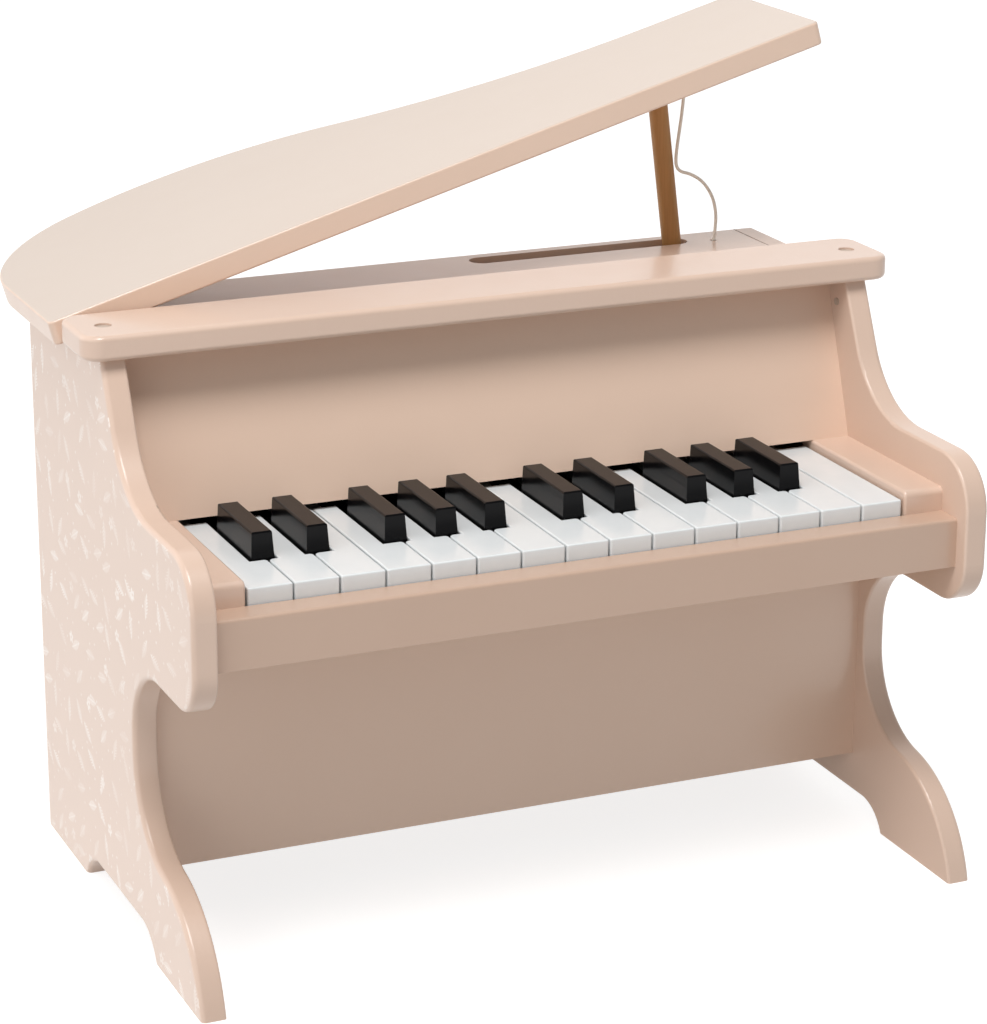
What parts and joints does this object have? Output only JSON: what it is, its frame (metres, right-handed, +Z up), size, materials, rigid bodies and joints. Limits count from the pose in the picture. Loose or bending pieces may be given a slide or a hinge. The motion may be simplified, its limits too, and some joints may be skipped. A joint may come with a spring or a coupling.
{
  "type": "toy piano",
  "caption": "Small upright toy piano with shaped side panels, a hinged grand-style lid held open by a prop stick and a string, and keys that strike tone rods.",
  "frame": {"origin": "on the floor, at the middle of the whole part's box", "axes": "+X along the keyboard from bass to treble, +Y from the keys to the back, +Z up"},
  "size_m": [0.4202, 0.3158, 0.3989],
  "materials": {
    "case_lacquer": "satin pale blush lacquer on board",
    "lid_lacquer": "satin pale blush lacquer on board",
    "raw_board": "bare fibreboard",
    "ivory_plastic": "gloss white",
    "ebony_plastic": "gloss black",
    "dowel_wood": "bare light brown dowel",
    "string_cotton": "off-white cotton cord",
    "hinge_brass": "satin brass",
    "steel_pins": "drawn steel",
    "zinc_screws": "zinc plated",
    "spring_steel": "blued spring steel",
    "rail_plastic": "moulded grey",
    "felt": "wool felt",
    "tone_iron": "as cast"
  },
  "bodies": {
    "case": {"left_side_panel": "case_lacquer", "right_side_panel": "case_lacquer", "front_shelf": "case_lacquer", "top_panel": "case_lacquer", "fallboard": "case_lacquer", "lower_panel": "case_lacquer", "front_rail": "case_lacquer", "left_key_block": "case_lacquer", "right_key_block": "case_lacquer", "key_bed": "raw_board", "back_panel": "raw_board", "back_battens": "raw_board", "tail_rest_rail": "raw_board", "lid_string": "string_cotton", "hinge_body_leaves": "hinge_brass", "hinge_body_screws": "hinge_brass", "hinge_pins": "steel_pins", "prop_pin": "steel_pins", "key_axle": "steel_pins", "tone_rods": "steel_pins", "panel_brads": "steel_pins", "shelf_screws": "zinc_screws", "back_panel_screws": "zinc_screws", "axle_rail_screws": "zinc_screws", "tone_bar_screws": "zinc_screws", "key_spring_comb": "spring_steel", "axle_rail": "rail_plastic", "front_felt": "felt", "tail_felt": "felt", "tone_bar": "tone_iron"},
    "white_key_01": {"white_key_01": "ivory_plastic"},
    "black_key_01": {"black_key_01": "ebony_plastic"},
    "white_key_02": {"white_key_02": "ivory_plastic"},
    "black_key_02": {"black_key_02": "ebony_plastic"},
    "white_key_03": {"white_key_03": "ivory_plastic"},
    "white_key_04": {"white_key_04": "ivory_plastic"},
    "black_key_03": {"black_key_03": "ebony_plastic"},
    "white_key_05": {"white_key_05": "ivory_plastic"},
    "black_key_04": {"black_key_04": "ebony_plastic"},
    "white_key_06": {"white_key_06": "ivory_plastic"},
    "black_key_05": {"black_key_05": "ebony_plastic"},
    "white_key_07": {"white_key_07": "ivory_plastic"},
    "white_key_08": {"white_key_08": "ivory_plastic"},
    "black_key_06": {"black_key_06": "ebony_plastic"},
    "white_key_09": {"white_key_09": "ivory_plastic"},
    "black_key_07": {"black_key_07": "ebony_plastic"},
    "white_key_10": {"white_key_10": "ivory_plastic"},
    "white_key_11": {"white_key_11": "ivory_plastic"},
    "black_key_08": {"black_key_08": "ebony_plastic"},
    "white_key_12": {"white_key_12": "ivory_plastic"},
    "black_key_09": {"black_key_09": "ebony_plastic"},
    "white_key_13": {"white_key_13": "ivory_plastic"},
    "black_key_10": {"black_key_10": "ebony_plastic"},
    "white_key_14": {"white_key_14": "ivory_plastic"},
    "white_key_15": {"white_key_15": "ivory_plastic"},
    "lid": {"lid": "lid_lacquer", "hinge_lid_leaves": "hinge_brass", "hinge_lid_screws": "hinge_brass"},
    "prop": {"prop_stick": "dowel_wood"}
  },
  "joints": [
    {"name": "white_key_01_pivot", "type": "hinge", "parent": "case", "child": "white_key_01", "pos_m": [0, -0.00341, 0.1845], "axis": [1, 0, 0], "range_deg": [0, 2.5], "stiffness_Nm_per_rad": 0.6, "springref_deg": -2.29, "deforming": ["key_spring_comb"]},
    {"name": "black_key_01_pivot", "type": "hinge", "parent": "case", "child": "black_key_01", "pos_m": [0, -0.00341, 0.1845], "axis": [1, 0, 0], "range_deg": [0, 2.5], "stiffness_Nm_per_rad": 0.6, "springref_deg": -2.29, "deforming": ["key_spring_comb"]},
    {"name": "white_key_02_pivot", "type": "hinge", "parent": "case", "child": "white_key_02", "pos_m": [0, -0.00341, 0.1845], "axis": [1, 0, 0], "range_deg": [0, 2.5], "stiffness_Nm_per_rad": 0.6, "springref_deg": -2.29, "deforming": ["key_spring_comb"]},
    {"name": "black_key_02_pivot", "type": "hinge", "parent": "case", "child": "black_key_02", "pos_m": [0, -0.00341, 0.1845], "axis": [1, 0, 0], "range_deg": [0, 2.5], "stiffness_Nm_per_rad": 0.6, "springref_deg": -2.29, "deforming": ["key_spring_comb"]},
    {"name": "white_key_03_pivot", "type": "hinge", "parent": "case", "child": "white_key_03", "pos_m": [0, -0.00341, 0.1845], "axis": [1, 0, 0], "range_deg": [0, 2.5], "stiffness_Nm_per_rad": 0.6, "springref_deg": -2.29, "deforming": ["key_spring_comb"]},
    {"name": "white_key_04_pivot", "type": "hinge", "parent": "case", "child": "white_key_04", "pos_m": [0, -0.00341, 0.1845], "axis": [1, 0, 0], "range_deg": [0, 2.5], "stiffness_Nm_per_rad": 0.6, "springref_deg": -2.29, "deforming": ["key_spring_comb"]},
    {"name": "black_key_03_pivot", "type": "hinge", "parent": "case", "child": "black_key_03", "pos_m": [0, -0.00341, 0.1845], "axis": [1, 0, 0], "range_deg": [0, 2.5], "stiffness_Nm_per_rad": 0.6, "springref_deg": -2.29, "deforming": ["key_spring_comb"]},
    {"name": "white_key_05_pivot", "type": "hinge", "parent": "case", "child": "white_key_05", "pos_m": [0, -0.00341, 0.1845], "axis": [1, 0, 0], "range_deg": [0, 2.5], "stiffness_Nm_per_rad": 0.6, "springref_deg": -2.29, "deforming": ["key_spring_comb"]},
    {"name": "black_key_04_pivot", "type": "hinge", "parent": "case", "child": "black_key_04", "pos_m": [0, -0.00341, 0.1845], "axis": [1, 0, 0], "range_deg": [0, 2.5], "stiffness_Nm_per_rad": 0.6, "springref_deg": -2.29, "deforming": ["key_spring_comb"]},
    {"name": "white_key_06_pivot", "type": "hinge", "parent": "case", "child": "white_key_06", "pos_m": [0, -0.00341, 0.1845], "axis": [1, 0, 0], "range_deg": [0, 2.5], "stiffness_Nm_per_rad": 0.6, "springref_deg": -2.29, "deforming": ["key_spring_comb"]},
    {"name": "black_key_05_pivot", "type": "hinge", "parent": "case", "child": "black_key_05", "pos_m": [0, -0.00341, 0.1845], "axis": [1, 0, 0], "range_deg": [0, 2.5], "stiffness_Nm_per_rad": 0.6, "springref_deg": -2.29, "deforming": ["key_spring_comb"]},
    {"name": "white_key_07_pivot", "type": "hinge", "parent": "case", "child": "white_key_07", "pos_m": [0, -0.00341, 0.1845], "axis": [1, 0, 0], "range_deg": [0, 2.5], "stiffness_Nm_per_rad": 0.6, "springref_deg": -2.29, "deforming": ["key_spring_comb"]},
    {"name": "white_key_08_pivot", "type": "hinge", "parent": "case", "child": "white_key_08", "pos_m": [0, -0.00341, 0.1845], "axis": [1, 0, 0], "range_deg": [0, 2.5], "stiffness_Nm_per_rad": 0.6, "springref_deg": -2.29, "deforming": ["key_spring_comb"]},
    {"name": "black_key_06_pivot", "type": "hinge", "parent": "case", "child": "black_key_06", "pos_m": [0, -0.00341, 0.1845], "axis": [1, 0, 0], "range_deg": [0, 2.5], "stiffness_Nm_per_rad": 0.6, "springref_deg": -2.29, "deforming": ["key_spring_comb"]},
    {"name": "white_key_09_pivot", "type": "hinge", "parent": "case", "child": "white_key_09", "pos_m": [0, -0.00341, 0.1845], "axis": [1, 0, 0], "range_deg": [0, 2.5], "stiffness_Nm_per_rad": 0.6, "springref_deg": -2.29, "deforming": ["key_spring_comb"]},
    {"name": "black_key_07_pivot", "type": "hinge", "parent": "case", "child": "black_key_07", "pos_m": [0, -0.00341, 0.1845], "axis": [1, 0, 0], "range_deg": [0, 2.5], "stiffness_Nm_per_rad": 0.6, "springref_deg": -2.29, "deforming": ["key_spring_comb"]},
    {"name": "white_key_10_pivot", "type": "hinge", "parent": "case", "child": "white_key_10", "pos_m": [0, -0.00341, 0.1845], "axis": [1, 0, 0], "range_deg": [0, 2.5], "stiffness_Nm_per_rad": 0.6, "springref_deg": -2.29, "deforming": ["key_spring_comb"]},
    {"name": "white_key_11_pivot", "type": "hinge", "parent": "case", "child": "white_key_11", "pos_m": [0, -0.00341, 0.1845], "axis": [1, 0, 0], "range_deg": [0, 2.5], "stiffness_Nm_per_rad": 0.6, "springref_deg": -2.29, "deforming": ["key_spring_comb"]},
    {"name": "black_key_08_pivot", "type": "hinge", "parent": "case", "child": "black_key_08", "pos_m": [0, -0.00341, 0.1845], "axis": [1, 0, 0], "range_deg": [0, 2.5], "stiffness_Nm_per_rad": 0.6, "springref_deg": -2.29, "deforming": ["key_spring_comb"]},
    {"name": "white_key_12_pivot", "type": "hinge", "parent": "case", "child": "white_key_12", "pos_m": [0, -0.00341, 0.1845], "axis": [1, 0, 0], "range_deg": [0, 2.5], "stiffness_Nm_per_rad": 0.6, "springref_deg": -2.29, "deforming": ["key_spring_comb"]},
    {"name": "black_key_09_pivot", "type": "hinge", "parent": "case", "child": "black_key_09", "pos_m": [0, -0.00341, 0.1845], "axis": [1, 0, 0], "range_deg": [0, 2.5], "stiffness_Nm_per_rad": 0.6, "springref_deg": -2.29, "deforming": ["key_spring_comb"]},
    {"name": "white_key_13_pivot", "type": "hinge", "parent": "case", "child": "white_key_13", "pos_m": [0, -0.00341, 0.1845], "axis": [1, 0, 0], "range_deg": [0, 2.5], "stiffness_Nm_per_rad": 0.6, "springref_deg": -2.29, "deforming": ["key_spring_comb"]},
    {"name": "black_key_10_pivot", "type": "hinge", "parent": "case", "child": "black_key_10", "pos_m": [0, -0.00341, 0.1845], "axis": [1, 0, 0], "range_deg": [0, 2.5], "stiffness_Nm_per_rad": 0.6, "springref_deg": -2.29, "deforming": ["key_spring_comb"]},
    {"name": "white_key_14_pivot", "type": "hinge", "parent": "case", "child": "white_key_14", "pos_m": [0, -0.00341, 0.1845], "axis": [1, 0, 0], "range_deg": [0, 2.5], "stiffness_Nm_per_rad": 0.6, "springref_deg": -2.29, "deforming": ["key_spring_comb"]},
    {"name": "white_key_15_pivot", "type": "hinge", "parent": "case", "child": "white_key_15", "pos_m": [0, -0.00341, 0.1845], "axis": [1, 0, 0], "range_deg": [0, 2.5], "stiffness_Nm_per_rad": 0.6, "springref_deg": -2.29, "deforming": ["key_spring_comb"]},
    {"name": "lid_hinge", "type": "hinge", "parent": "case", "child": "lid", "pos_m": [-0.19735, 0.04, 0.276], "axis": [0, -1, 0], "range_deg": [0, 1.4], "deforming": ["lid_string"]},
    {"name": "prop_pivot", "type": "hinge", "parent": "case", "child": "prop", "pos_m": [0.14429, 0.07459, 0.27], "axis": [0, -1, 0], "range_deg": [0, 82.7]}
  ]
}
